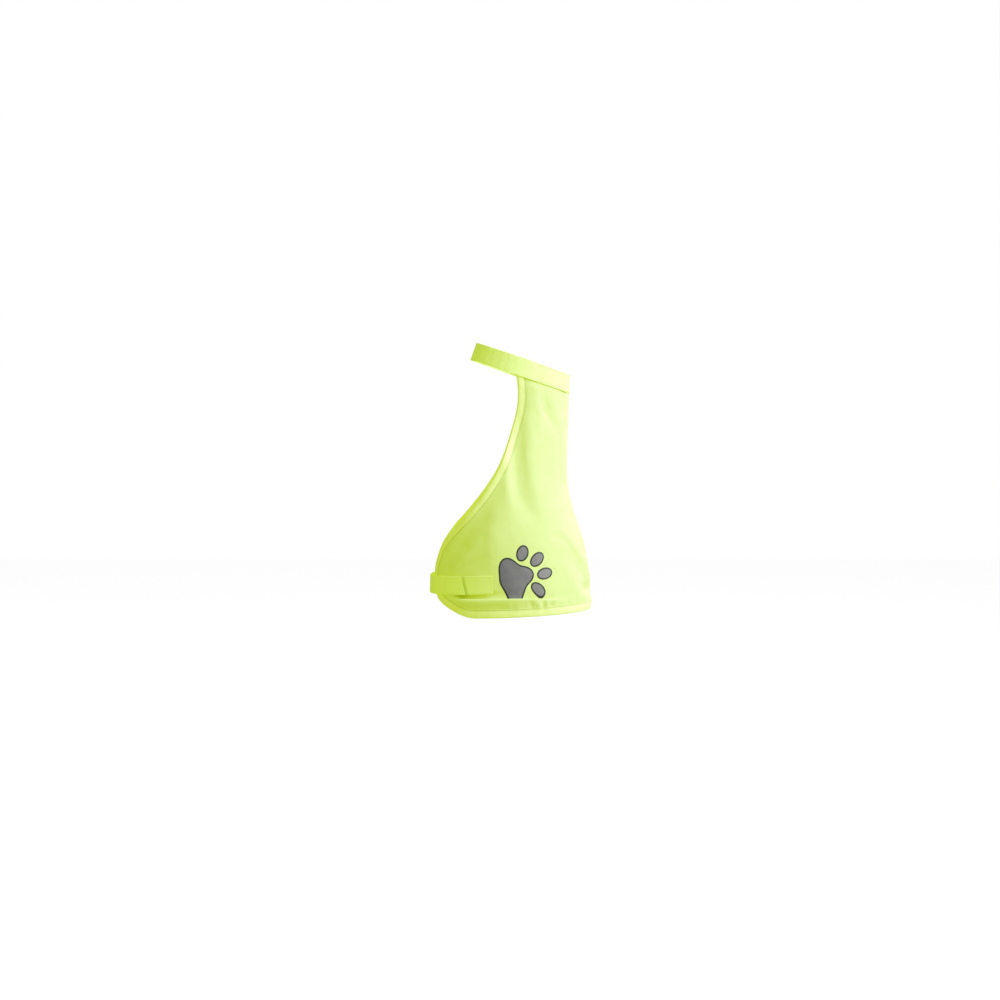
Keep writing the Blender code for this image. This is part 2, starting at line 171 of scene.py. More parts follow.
# Faint unevenness all over: straight waves, each bent a little by a longer one.
UNEVEN_LENGTHS = (3.5, 4.5, 6, 8, 11, 15, 20)
UNEVEN_SHARE, BEND, BEND_LENGTH = 0.018, 6, 1.7
draws = np.random.default_rng(7)
UNEVEN = [
    (length, draws.uniform(0, math.pi), draws.uniform(0, 6), UNEVEN_SHARE * length)
    for length in UNEVEN_LENGTHS
]

# Under a strap or patch, and for some mm and degrees past it, the cape is pressed in this far at least.
PRESSED_HEIGHT = -0.1
NECK_PRESS, PATCH_PRESS, PRESS_ANGLE = 8, 6, 5

# The shallow hollow that the pleat's drop leaves under the belly strap: angle and depth.
HOLLOW = ((92, 0.0), (98, 1.6), (108, 5.0), (120, 9.0), (129, 8.0), (138, 0.0))
HOLLOW_ABOVE, HOLLOW_BREADTH = 6.5, 6.0

# The pleat's section where it is full: how far the cloth itself runs from the ridge, where that lies
# once folded, and how far it stands out, as a share of the pleat's height.
FOLD_COLUMNS = ("cloth", "folded", "height")
FOLDED = (
    (-21, -21, 0.0), (-14, -14, 0.35), (-8, -7, 0.78), (-4.5, -2, 0.98), (-3, -0.2, 0.93),
    (-2, 0.3, 0.82), (-1, -0.6, 0.70), (0.5, -4, 0.52), (1.5, -6, 0.38), (2.5, -5, 0.20),
    (4, -1, 0.06), (6, 4, 0.0), (10, 10, 0.0),
)
FULL_PLEAT = 6.0

# Painted shade on the cape behind the pleat's ridge, where little light gets to it: its colour darkens and
# its glow dims there.
# Angle and strength, how far above the ridge, and half the breadth.
BEHIND_PLEAT = (
    (98, 0.0), (106, 0.15), (114, 0.3), (119, 0.4), (123, 0.55), (127, 0.95), (131, 0.95), (135, 0.4),
    (140, 0.0),
)
BEHIND_AT, BEHIND_BREADTH = 5.8, 2.4

# Rows of the cape's grid, as spacings between heights: finer where the pleat turns. Their bend round
# the corners fades out on the way up.
GRID_ROWS = ((0, 10, 2.5), (10, 27, 1.6), (27, 40, 0.5), (40, 52, 1.6), (52, NECKLINE, 2.6))
HEM_DEGREE = DEGREE_MM * 1.12  # one degree's length along the hem
GRID_MM = 2.6
GRID_STRAIGHT = 60
CORNER_COLUMNS = 16


def table(columns, rows):
    """The columns of a table by name."""
    return {name: np.array(values, float) for name, values in zip(columns, zip(*rows))}


stations = table(STATION_COLUMNS, STATIONS)
pleat = table(PLEAT_COLUMNS, PLEAT)
folded = table(FOLD_COLUMNS, FOLDED)


def ease(t):
    """A smooth step from 0 to 1."""
    t = np.clip(t, 0.0, 1.0)
    return t * t * (3 - 2 * t)


def through(knots, values, at):
    """A smooth curve through a table's column, straight past its ends."""
    at = np.asarray(at, float)
    last = len(knots) - 1
    place = np.arange(last + 1)
    before, after = np.maximum(place - 1, 0), np.minimum(place + 1, last)
    slopes = (values[after] - values[before]) / (knots[after] - knots[before])
    inside = np.clip(at, knots[0], knots[-1])
    i = np.clip(np.searchsorted(knots, inside, "right") - 1, 0, last - 1)
    span = knots[i + 1] - knots[i]
    t = (inside - knots[i]) / span
    value = (
        values[i] * (1 + 2 * t) * (1 - t) ** 2
        + values[i + 1] * t * t * (3 - 2 * t)
        + span * (slopes[i] * t * (1 - t) ** 2 - slopes[i + 1] * t * t * (1 - t))
    )
    past = at - inside
    return value + past * np.where(past < 0, slopes[0], slopes[last])


def form_point(angle, along):
    """Points on the torso form."""
    angle, along = np.broadcast_arrays(np.asarray(angle, float), np.asarray(along, float))
    back_x, back_z, belly_x, belly_z, half_width = (
        through(stations["along"], stations[name], along) for name in STATION_COLUMNS[1:6]
    )
    out, side = np.cos(np.radians(angle)), np.sin(np.radians(angle))
    return np.stack(
        [
            (back_x + belly_x) / 2 + out * (back_x - belly_x) / 2,
            -half_width * side,
            (back_z + belly_z) / 2 + out * (back_z - belly_z) / 2,
        ],
        -1,
    )


def steps(surface, angle, along):
    """A surface's change in place for one degree and for one mm of along."""
    round_it = surface(angle + 0.5, along) - surface(angle - 0.5, along)
    up_it = surface(angle, along + 0.5) - surface(angle, along - 0.5)
    return round_it, up_it


def outward(surface, angle, along):
    """Directions square to a surface, away from the wearer."""
    round_it, up_it = steps(surface, angle, along)
    normal = np.cross(up_it, round_it)
    return normal / np.linalg.norm(normal, axis=-1, keepdims=True)


def scales(angle, along):
    """Real mm for one degree and for one mm of along."""
    round_it, up_it = steps(form_point, angle, along)
    return np.linalg.norm(round_it, axis=-1), np.linalg.norm(up_it, axis=-1)


def moved(angle, along, across_mm, up_mm):
    """The flat place that lies some real mm towards the spine and up from another."""
    round_mm, up_scale = scales(angle, along)
    return angle - across_mm / round_mm, along + up_mm / up_scale


CREASE_TURN = 0.12  # how soon, past its line, a crease has the breadth of that side


def crease_height(angle, along):
    """How far all creases together stand out at flat places."""
    height = np.zeros(np.shape(angle))
    for _, low_breadth, high_breadth, line in CREASES:
        nearest = np.full(np.shape(angle), np.inf)
        found = np.zeros(np.shape(angle))
        for (a0, s0, h0), (a1, s1, h1) in zip(line, line[1:]):
            run_x, run_y = (a1 - a0) * DEGREE_MM, s1 - s0
            x, y = (angle - a0) * DEGREE_MM, along - s0
            share = np.clip((x * run_x + y * run_y) / (run_x**2 + run_y**2), 0, 1)
            off_x, off_y = x - share * run_x, y - share * run_y
            off = np.hypot(off_x, off_y)
            side = ease(0.5 + CREASE_TURN * off_x)
            breadth = low_breadth + (high_breadth - low_breadth) * side
            here = (h0 + (h1 - h0) * share) * np.exp(-((off / breadth) ** 2))
            found = np.where(off < nearest, here, found)
            nearest = np.minimum(nearest, off)
        height += found
    return height


def small_height(angle, along):
    """Seam puckers, the hollow above the pleat, and faint unevenness all over."""
    height = np.zeros(np.shape(angle))
    for at, up, depth in PUCKERS:
        x, y = (angle - at) * DEGREE_MM, along - up
        height += depth * np.exp(-((x / PUCKER_BREADTH) ** 2) - (y / PUCKER_LENGTH) ** 2)
    depth = np.interp(angle, *zip(*HOLLOW))
    off = along - pleat_line(angle) - HOLLOW_ABOVE
    height -= depth * np.exp(-((off / HOLLOW_BREADTH) ** 2))
    x, y = angle * DEGREE_MM, along
    for length, turn, phase, size in UNEVEN:
        run = x * math.cos(turn) + y * math.sin(turn)
        bend = BEND * np.sin((y * math.cos(turn) - x * math.sin(turn)) / (BEND_LENGTH * length) + phase)
        height += size * np.sin((run + bend) / length + phase)
    return height + (np.minimum(height, PRESSED_HEIGHT) - height) * pressed(angle, along)


def pressed(angle, along):
    """Where a strap or patch lies on the cape: 1 under it, 0 clear of it."""
    under_neck = ease((along - NECKLINE + STRAP_WIDTH + NECK_PRESS) / NECK_PRESS)
    off = np.abs(along - BELLY_ALONG) - STRAP_WIDTH / 2
    under_patch = ease(1 - off / PATCH_PRESS) * ease((angle - LOOP_FROM + PRESS_ANGLE) / PRESS_ANGLE)
    under_root = ease(1 - off / PATCH_PRESS) * ease((BELLY_ROOT - 360 + PRESS_ANGLE - angle) / PRESS_ANGLE)
    return np.maximum(under_neck, np.maximum(under_patch, under_root))


def pleat_column(name, angle):
    """A column of the pleat's table at each angle."""
    return through(pleat["angle"], pleat[name], np.clip(angle, PLEAT[0][0], PLEAT[-1][0]))


def pleat_line(angle):
    """How high the pleat's ridge is."""
    return pleat_column("along", angle)


def pleat_strength(angle):
    """How full the pleat is: 0 past its ends, 1 where it is deepest."""
    return np.clip(pleat_column("height", angle), 0, None) / FULL_PLEAT


def smooth_form(angle, along):
    """The form with its creases, as the straps see it: without the pleat and without small relief."""
    lift = crease_height(angle, along)[..., None]
    return form_point(angle, along) + outward(form_point, angle, along) * lift


def cape_middle(angle, along):
    """The middle of the cape's cloth, folded at the pleat. Along is measured on the cloth here."""
    ridge, strength = pleat_line(angle), pleat_strength(angle)
    off = along - ridge
    near = (off > FOLDED[0][0]) & (off < FOLDED[-1][0])
    folded_off = np.where(near, through(folded["cloth"], folded["folded"], off), off)
    stands = np.where(near, through(folded["cloth"], folded["height"], off), 0.0)
    place = ridge + off + (folded_off - off) * strength
    lift = crease_height(angle, place) + small_height(angle, place) + stands * strength * FULL_PLEAT
    return form_point(angle, place) + outward(form_point, angle, place) * (lift[..., None] + SHELL_LIFT)


def lifted(surface, angle, along, lift):
    """Points that lie lift mm outside a surface."""
    angle, along = np.broadcast_arrays(np.asarray(angle, float), np.asarray(along, float))
    lift = np.broadcast_to(np.asarray(lift, float), angle.shape)
    return surface(angle, along) + outward(surface, angle, along) * lift[..., None]


def on_cape(angle, along, lift):
    """Points that lie lift mm outside the cape's inner face."""
    return lifted(cape_middle, angle, along, np.asarray(lift, float) - SHELL_LIFT)


def on_form(angle, along, lift):
    """The same for what bridges over the cape's small relief."""
    return lifted(smooth_form, angle, along, lift)


def painted_cape_shade(angle, along):
    """How much shade is painted on the cape behind the pleat's ridge, where little light gets to it, from 0
    to 1. Along is measured on the cloth here.
    """
    off = along - pleat_line(angle) - BEHIND_AT
    return np.interp(angle, *zip(*BEHIND_PLEAT)) * np.exp(-((off / BEHIND_BREADTH) ** 2))


def edge_angle(along):
    """How far round the cape's side edges are."""
    return through(stations["along"], stations["edge_angle"], along)


def spread(low, high, spacing):
    """Even steps from low to high, about spacing apart."""
    return np.linspace(low, high, max(1, math.ceil(abs(high - low) / spacing)) + 1)


# ---- meshes


def make_mesh(name, points, faces, material, **attributes):
    """A smooth mesh object from points in mm, with vectors on its points for its material."""
    mesh = bpy.data.meshes.new(name)
    mesh.from_pydata((points.reshape(-1, 3) * MM).tolist(), [], faces)
    mesh.validate()
    mesh.shade_smooth()
    for key, values in attributes.items():
        layer = mesh.attributes.new(key, "FLOAT_VECTOR", "POINT")
        layer.data.foreach_set("vector", np.ascontiguousarray(values, np.float32).ravel())
    mesh.materials.append(material)
    piece = bpy.data.objects.new(name, mesh)
    bpy.context.scene.collection.objects.link(piece)
    return piece


def grid_faces(rows, columns, closed=False):
    """Quads between rows of points. A closed grid's columns join their last to their first."""
    across = columns if closed else columns - 1
    return [
        tuple((r + up) * columns + (c + on) % columns for up, on in ((0, 0), (0, 1), (1, 1), (1, 0)))
        for r in range(rows - 1)
        for c in range(across)
    ]


def tube_faces(rows, columns):
    """A closed grid's quads, and its two ends."""
    ends = [tuple(range(columns)), tuple(reversed(range((rows - 1) * columns, rows * columns)))]
    return grid_faces(rows, columns, closed=True) + ends


def distance_run(points):
    """How far each point is along a line of points."""
    gaps = np.linalg.norm(np.diff(points, axis=0), axis=1)
    return np.concatenate([[0], np.cumsum(gaps)])


def thicken(piece, thickness):
    """A wall, half on each side of a sheet of points."""
    wall = piece.modifiers.new("wall", "SOLIDIFY")
    wall.thickness = thickness * MM
    wall.offset = 0
    wall.use_quality_normals = True


def place_piece(piece, slot, *nodes):
    """A piece in the part's one body, with the CAD nodes that it stands in for."""
    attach(piece, "root")
    if nodes:
        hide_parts(*nodes)
    return piece


# ---- materials


def put(tree, made, inputs):
    """A node's inputs: constants set on their sockets, and links."""
    for key, value in inputs.items():
        if isinstance(value, bpy.types.NodeSocket):
            tree.links.new(value, made.inputs[key])
        else:
            made.inputs[key].default_value = value


def node(tree, kind, inputs, **settings):
    """A shader node with its settings and inputs."""
    made = tree.nodes.new(kind)
    for key, value in settings.items():
        setattr(made, key, value)
    put(tree, made, inputs)
    return made


def maths(tree, operation, first, second=0.0):
    """A shader value worked out from one or two others."""
    return node(tree, "ShaderNodeMath", {0: first, 1: second}, operation=operation).outputs[0]


def plus(tree, first, second):
    return maths(tree, "ADD", first, second)


def times(tree, first, second):
    return maths(tree, "MULTIPLY", first, second)


def start_material(name):
    """A material, its nodes, its surface, and the place in mm on the flat cloth."""
    material = bpy.data.materials.new(name)
    material.use_nodes = True
    tree = material.node_tree
    flat = node(tree, "ShaderNodeAttribute", {}, attribute_name="flat")
    return material, tree, tree.nodes["Principled BSDF"], flat.outputs["Vector"]


def waves(tree, coordinate, period):
    """A sine along one coordinate, in mm, from -1 to 1."""
    return maths(tree, "SINE", times(tree, coordinate, 2 * math.pi / period))


def noise(tree, vector, size, detail=2.0, roughness=0.5):
    return node(
        tree,
        "ShaderNodeTexNoise",
        {"Vector": vector, "Scale": 1 / size, "Detail": detail, "Roughness": roughness},
    ).outputs["Fac"]


def mixed(tree, factor, low, high):
    """A colour between two, inputs 6 and 7 of the node, by a factor from 0 to 1. Other nodes may
    give the first colour."""
    if not isinstance(low, bpy.types.NodeSocket):
        low = (*low, 1)
    made = node(tree, "ShaderNodeMix", {"Factor": factor, 6: low, 7: (*high, 1)}, data_type="RGBA")
    return made.outputs[2]


def woven(tree, weave, flat, x, y, period):
    """How far the threads of a weave, or the hooks or loops of a pile, stand out: about -1 to 1."""
    if weave == "knit":
        bent = maths(tree, "ABSOLUTE", waves(tree, x, 2 * period))
        lean = plus(tree, y, times(tree, bent, 0.5 * period))
        return times(tree, waves(tree, x, period), waves(tree, lean, 0.8 * period))
    if weave == "twill":
        across = plus(tree, x, y)
        return times(tree, waves(tree, across, period), waves(tree, y, 3.1 * period))
    if weave == "rib":
        crossed = times(tree, waves(tree, y, 2 * period), waves(tree, x, 2 * period))
        return plus(tree, waves(tree, x, period), crossed)
    spots = node(tree, "ShaderNodeTexVoronoi", {"Vector": flat, "Scale": 1 / period, "Randomness": 0.75})
    return times(tree, spots.outputs["Distance"], -1.6)


FIBRE_MM, FIBRE_HEIGHT = 0.35, 0.9
CLOUDS_MM, THREAD_TONE, WEAR_MM = 28, 0.16, 2.5
SHEEN_TINT, SHEEN_ROUGHNESS = (1.0, 1.0, 0.92, 1), 0.45
SHADED_DYE, SHADED_GLOW = (0.5, 0.5, 0.12), 0.55  # shares of the colour and glow that are left where shade is painted


def fabric(name, low, high, painted_glow, weave, period, relief, roughness, sheen, wear=0.0):
    """Dyed polyester: its weave is relief and a slight change of colour. It also glows evenly, which is
    painted light standing in for the dye's fluorescence.
    """
    material, tree, surface, flat = start_material(name)
    parts = node(tree, "ShaderNodeSeparateXYZ", {0: flat})
    # The flat vector's third part is painted shade: where it is 1 the colour darkens and the glow dims,
    # standing in for shade where little light gets.
    x, y, shade = parts.outputs[0], parts.outputs[1], parts.outputs[2]
    threads = woven(tree, weave, flat, x, y, period)
    fibre = noise(tree, flat, FIBRE_MM, 3.0)
    height = plus(tree, threads, times(tree, fibre, FIBRE_HEIGHT))
    bump = node(tree, "ShaderNodeBump", {"Height": height, "Strength": 1.0, "Distance": relief * MM})
    cloudy = noise(tree, flat, CLOUDS_MM, 3.0, 0.6)
    tone = plus(tree, cloudy, times(tree, threads, THREAD_TONE))
    if wear:
        tone = plus(tree, tone, times(tree, noise(tree, flat, WEAR_MM, 4.0), wear))
    dyed = mixed(tree, tone, low, high)
    shaded = tuple(share * part for share, part in zip(SHADED_DYE, low))
    dimmed = tuple(SHADED_GLOW * part for part in painted_glow)
    put(tree, surface, {
        "Base Color": mixed(tree, shade, dyed, shaded),
        "Normal": bump.outputs[0],
        "Roughness": roughness,
        "Specular IOR Level": 0.3,
        "Sheen Weight": sheen,
        "Sheen Roughness": SHEEN_ROUGHNESS,
        "Sheen Tint": SHEEN_TINT,
        "Emission Color": mixed(tree, shade, painted_glow, dimmed),
        "Emission Strength": 1.0,
    })
    return material


BEAD_MM, BEAD_RELIEF, FILM_CLOUDS_MM = 0.45, 0.05, 9
FILM_DARK, FILM_PALE = (0.086, 0.088, 0.083), (0.152, 0.155, 0.144)
FILM_RIM = (0.008, 0.012, 0.009)


def film_material(name):
    """Reflective film: glass beads in grey, darker in a thin rim round its edge."""
    material, tree, surface, flat = start_material(name)
    rim = node(tree, "ShaderNodeAttribute", {}, attribute_name="rim").outputs["Fac"]
    spots = node(tree, "ShaderNodeTexVoronoi", {"Vector": flat, "Scale": 1 / BEAD_MM, "Randomness": 1.0})
    beads = spots.outputs["Distance"]
    cloudy = noise(tree, flat, FILM_CLOUDS_MM, 3.0, 0.6)
    tone = plus(tree, times(tree, cloudy, 0.8), times(tree, beads, 0.35))
    grey = mixed(tree, tone, FILM_DARK, FILM_PALE)
    fine = plus(tree, times(tree, beads, -1.0), times(tree, cloudy, 2.0))
    bump = node(tree, "ShaderNodeBump", {"Height": fine, "Strength": 1.0, "Distance": BEAD_RELIEF * MM})
    rough = node(tree, "ShaderNodeMapRange", {"Value": cloudy, "To Min": 0.46, "To Max": 0.62})
    put(tree, surface, {
        "Base Color": mixed(tree, rim, grey, FILM_RIM),
        "Normal": bump.outputs[0],
        "Roughness": rough.outputs[0],
        "Metallic": 0.15,
        "Specular IOR Level": 0.4,
    })
    return material


# Each cloth's name, dark and pale colour, its painted glow (an even emission standing in for the dye's
# fluorescence), its weave with a period and relief in mm, and its roughness, sheen and wear.
CLOTHS = (
    ("cape_cloth", (0.125, 0.140, 0.138), (0.165, 0.180, 0.176), (0.450, 0.580, 0.0),
     "knit", 0.95, 0.07, 0.72, 0.28),
    ("tape", (0.15, 0.165, 0.165), (0.20, 0.215, 0.215), (0.50, 0.62, 0.0),
     "twill", 0.8, 0.06, 0.62, 0.28),
    ("webbing", (0.14, 0.16, 0.16), (0.19, 0.21, 0.21), (0.50, 0.65, 0.0),
     "rib", 1.1, 0.12, 0.66, 0.22, 0.3),
    ("loop_pile", (0.14, 0.15, 0.145), (0.19, 0.20, 0.19), (0.475, 0.625, 0.0),
     "pile", 0.9, 0.35, 0.85, 0.4, 0.5),
    ("hook_plate", (0.16, 0.18, 0.13), (0.22, 0.24, 0.17), (0.40, 0.56, 0.0),
     "pile", 1.4, 0.5, 0.5, 0.1),
    ("seam_thread", (0.09, 0.12, 0.03), (0.13, 0.16, 0.04), (0.24, 0.38, 0.0),
     "twill", 0.5, 0.04, 0.55, 0.2),
    ("strap_thread", (0.12, 0.14, 0.07), (0.17, 0.19, 0.10), (0.33, 0.48, 0.0),
     "twill", 0.5, 0.04, 0.55, 0.2),
    # the darker end face of webbing: partly its melted seal, partly painted shade of the gap under the end
    ("sealed_end_and_shade", (0.10, 0.12, 0.03), (0.15, 0.17, 0.04), (0.32, 0.46, 0.0),
     "twill", 0.8, 0.03, 0.4, 0.0),
)
cape_cloth, bound_tape, webbing_tape, loop_pile, hook_plate, seam_thread, strap_thread, sealed_end_and_shade = (
    fabric(*cloth) for cloth in CLOTHS
)
film = film_material("reflective_film")

# ---- the cape


SIDE_BINDING, HEM_BINDING = 11.0, 13.5  # how far the binding reaches into the cape
HEM_BINDING_TO, SIDE_BINDING_FROM = 36, 120
SEAM_SHADE, SEAM_BREADTH = 0.4, 1.5  # painted shade on the binding along its seam
BESIDE_SEAM, BESIDE_FADE = 2.6, 3.0  # how far the painted shade on the cape reaches past the binding, and fades


def binding_width(along):
    """How far the binding reaches into the cape: more round the corners and the hem."""
    share = ease((SIDE_BINDING_FROM - along) / (SIDE_BINDING_FROM - HEM_BINDING_TO))
    return SIDE_BINDING + (HEM_BINDING - SIDE_BINDING) * share


def corner_curve(count):
    """The rounded corner: how far round each place is, as a share of the edge's angle, and how high."""
    turn = np.linspace(0, math.pi / 2, count + 1)
    at = CORNER_HEIGHT * (1 - np.sin(turn))
    return 1 - CORNER_ANGLE * (1 - np.cos(turn)) / edge_angle(at), at


def back_panel():
    corner_share, corner_at = corner_curve(CORNER_COLUMNS)
    inner = spread(0, corner_share[-1], GRID_MM / (edge_angle(0) * HEM_DEGREE))[:-1]
    share = np.concatenate([inner, corner_share[::-1]])
    share = np.concatenate([-share[:0:-1], share])
    hem = np.interp(np.abs(share), corner_share[::-1], corner_at[::-1], left=0)
    rows = np.concatenate([spread(low, high, gap)[:-1] for low, high, gap in GRID_ROWS] + [[NECKLINE]])
    fade = np.clip(1 - rows / GRID_STRAIGHT, 0, None)
    along = rows[:, None] + hem[None, :] * fade[:, None]
    angle = share[None, :] * edge_angle(along)
    points = on_cape(angle, along, SHELL_LIFT)
    inward = (edge_angle(along) - np.abs(angle)) * scales(angle, along)[0]
    # Painted shade on the cape beside the binding's seam, and behind the pleat's ridge.
    beside = SEAM_SHADE * ease((binding_width(along) + BESIDE_SEAM - inward) / BESIDE_FADE)
    shade = np.maximum(painted_cape_shade(angle, along), beside)
    flat = np.stack([angle * DEGREE_MM, along, shade], -1)
    piece = make_mesh("cape", points, grid_faces(*along.shape), cape_cloth, flat=flat)
    thicken(piece, SHELL)
    return place_piece(piece, "cape_cloth", "back_panel")


# ---- the binding

TAPE = 0.5
# The tape's section round the cape's edge: how far into the cape, as a share of the binding's width,
# how far past the edge in mm, and how far off the cape's inner face the middle of the tape lies.
BOUND_SECTION = (
    (1.00, 0.0, 1.56), (0.975, 0.0, 1.60), (0.945, 0.0, 1.50), (0.92, 0.0, 1.38), (0.88, 0.0, 1.62),
    (0.68, 0.0, 1.96), (0.52, 0.0, 2.12), (0.34, 0.0, 2.14), (0.18, 0.0, 2.02), (0.06, 0.0, 1.76),
    (0.0, 0.35, 1.48), (0.0, 0.62, 1.12), (0.0, 0.70, 0.80), (0.0, 0.55, 0.46), (0.0, 0.20, 0.20),
    (0.08, 0.0, 0.08), (0.30, 0.0, 0.02), (0.60, 0.0, 0.06), (0.80, 0.0, 0.26), (0.90, 0.0, 0.28),
    (1.00, 0.0, 0.24),
)
STITCH_SHARE = 0.92
SEAM_OUTER, SEAM_INNER = 1.4, 0.26  # how far off the cape's inner face the tape lies at its seam
# The tape puffs out between stitches where it stands further off than OUTER_FLAT, or less than
# INNER_FLAT, and its cut edge wanders.
OUTER_FLAT, INNER_FLAT, TAPE_MIDDLE = 1.5, 0.25, 0.9
PUFF, WANDER, WANDER_FROM = 0.10, 0.12, 0.97
EDGE_ROW, CORNER_ROWS, HEM_ROW = 2.4, 20, 2.0  # spacings in mm, and rows round each corner


def edge_path():
    """The cape's edge from the left neckline down, round the hem and up again: its places, its
    direction in real mm, the length of a degree and of a mm of along, and the distance run."""
    side = spread(NECKLINE, CORNER_HEIGHT, EDGE_ROW)
    share, at = corner_curve(CORNER_ROWS)
    hem = spread(share[-1] * edge_angle(0), 0, HEM_ROW / DEGREE_MM)
    angle = np.concatenate([edge_angle(side), (share * edge_angle(at))[1:], hem[1:]])
    along = np.concatenate([side, at[1:], 0 * hem[1:]])
    angle = np.concatenate([angle, -angle[-2::-1]])
    along = np.concatenate([along, along[-2::-1]])
    round_mm, up_mm = scales(angle, along)
    run_x, run_y = np.gradient(angle) * round_mm, np.gradient(along) * up_mm
    run_x[[0, -1]] = 0
    size = np.hypot(run_x, run_y)
    distance = distance_run(form_point(angle, along))
    return angle, along, run_x / size, run_y / size, round_mm, up_mm, distance


path_angle, path_along, path_x, path_y, path_round, path_up, path_distance = edge_path()
path_width = binding_width(path_along)
# How the tape puckers along its seam: waves with a size, a length and a start.
PUCKER_WAVES = ((0.5, 1.25, 0.4), (0.4, 0.83, 1.9), (0.6, 3.1, 4.0))
pucker = sum(size * np.sin(path_distance / length + start) for size, length, start in PUCKER_WAVES)


def from_edge(inward):
    """Flat places some real mm into the cape from each place of its edge."""
    return path_angle + inward * path_y / path_round, path_along - inward * path_x / path_up


def edge_binding():
    """The tape, as one line of points along the cape's edge for each row of its section."""
    points, flat = [], []
    run = 0.0
    for i, (share, past, lift) in enumerate(BOUND_SECTION):
        puffed = max(0.0, lift - OUTER_FLAT) / 0.4 + max(0.0, INNER_FLAT - lift) / INNER_FLAT
        wander = WANDER * pucker if share > WANDER_FROM else 0
        inward = share * path_width - past + wander
        angle, along = from_edge(inward)
        points.append(on_cape(angle, along, lift + PUFF * puffed * pucker * np.sign(lift - TAPE_MIDDLE)))
        if i:
            share0, past0, lift0 = BOUND_SECTION[i - 1]
            run += math.hypot((share - share0) * SIDE_BINDING - past + past0, lift - lift0)
        # Painted shade along the groove of the tape's seam.
        shade = SEAM_SHADE * np.exp(-(((share - STITCH_SHARE) * path_width / SEAM_BREADTH) ** 2))
        flat.append(np.stack([path_distance, np.full_like(path_distance, run), shade], -1))
    points, flat = np.stack(points), np.stack(flat)
    piece = make_mesh("binding", points, grid_faces(*points.shape[:2]), bound_tape, flat=flat)
    thicken(piece, TAPE)
    return place_piece(piece, "tape", "edge_binding")


# ---- stitches

STITCH_LENGTH, STITCH_GAP, THREAD_RADIUS = 3.0, 0.4, 0.34
# A stitch's rings: how far along it, how thick and how far out, as shares of its length and radius.
STITCH_RINGS = (
    (0.0, 0.35, -0.9), (0.14, 0.9, -0.1), (0.38, 1.0, 0.35), (0.62, 1.0, 0.35), (0.86, 0.9, -0.1),
    (1.0, 0.35, -0.9),
)
THREAD_SIDES = 6
AHEAD = 0.6  # how far to either side a stitch looks for its direction


def stitch_rings(line, normals):
    """The rings of points of one row of stitches on a line of points."""
    distance = distance_run(line)

    def at(values, where):
        return np.stack([np.interp(where, distance, values[:, k]) for k in range(3)], -1)

    turns = np.linspace(0, 2 * math.pi, THREAD_SIDES, endpoint=False)
    rings = []
    for start in np.arange(STITCH_GAP, distance[-1] - STITCH_LENGTH, STITCH_LENGTH + STITCH_GAP):
        for share, size, lift in STITCH_RINGS:
            where = start + share * STITCH_LENGTH
            middle, normal = at(line, where), at(normals, where)
            ahead = at(line, min(where + AHEAD, distance[-1])) - at(line, max(where - AHEAD, 0))
            side = np.cross(normal, ahead)
            side /= np.linalg.norm(side)
            normal /= np.linalg.norm(normal)
            around = np.cos(turns)[:, None] * side + np.sin(turns)[:, None] * normal
            rings.append(middle + normal * THREAD_RADIUS * lift + size * THREAD_RADIUS * around)
    return rings


def stitches(name, slot, lines, thread=strap_thread):
    """All rows of stitches of one seam as one piece."""
    points = np.concatenate([ring for line, normals in lines for ring in stitch_rings(line, normals)])
    stitch = tube_faces(len(STITCH_RINGS), THREAD_SIDES)
    starts = range(0, len(points), len(STITCH_RINGS) * THREAD_SIDES)
    faces = [tuple(start + k for k in face) for start in starts for face in stitch]
    flat = np.stack([points[:, 0] + points[:, 1], points[:, 2], 0 * points[:, 0]], -1)
    return place_piece(make_mesh(name, points, faces, thread, flat=flat), slot)


def seam_line(surface, angle, along, lift):
    """A seam's points and directions on a surface."""
    points = surface(angle, along, lift)
    normals = surface(angle, along, lift + 1.0) - points
    return points, normals


def binding_stitches():
    angle, along = from_edge(STITCH_SHARE * path_width)
    outer = seam_line(on_cape, angle, along, SEAM_OUTER + TAPE / 2)
    points, normals = seam_line(on_cape, angle, along, SEAM_INNER - TAPE / 2)
    return stitches("binding_stitches", "tape", [outer, (points, -normals)], seam_thread)


# ---- straps and patches

# A strap's section: across it and through it, as shares of its width and thickness.
SECTION_TOP, SECTION_FLOOR = 1.06, -0.02
STRAP_SECTION = (
    [(0.5, 0.5), (0.498, 0.82), (0.488, 1.0)]
    + [(across, SECTION_TOP) for across in np.linspace(0.46, -0.46, 13)]
    + [(-0.488, 1.0), (-0.498, 0.82), (-0.5, 0.5), (-0.498, 0.18), (-0.488, 0.0)]
    + [(across, SECTION_FLOOR) for across in np.linspace(-0.46, 0.46, 7)]
    + [(0.488, 0.0), (0.498, 0.18)]
)
STRAP_ROW, END_ROUND, SLANT_FADE = 1.2, 0.8, 20  # in mm along a strap
COVER_SHADE, COVER_REACH = 0.6, 2.8  # painted shade on the loop tape, beside the strap's end

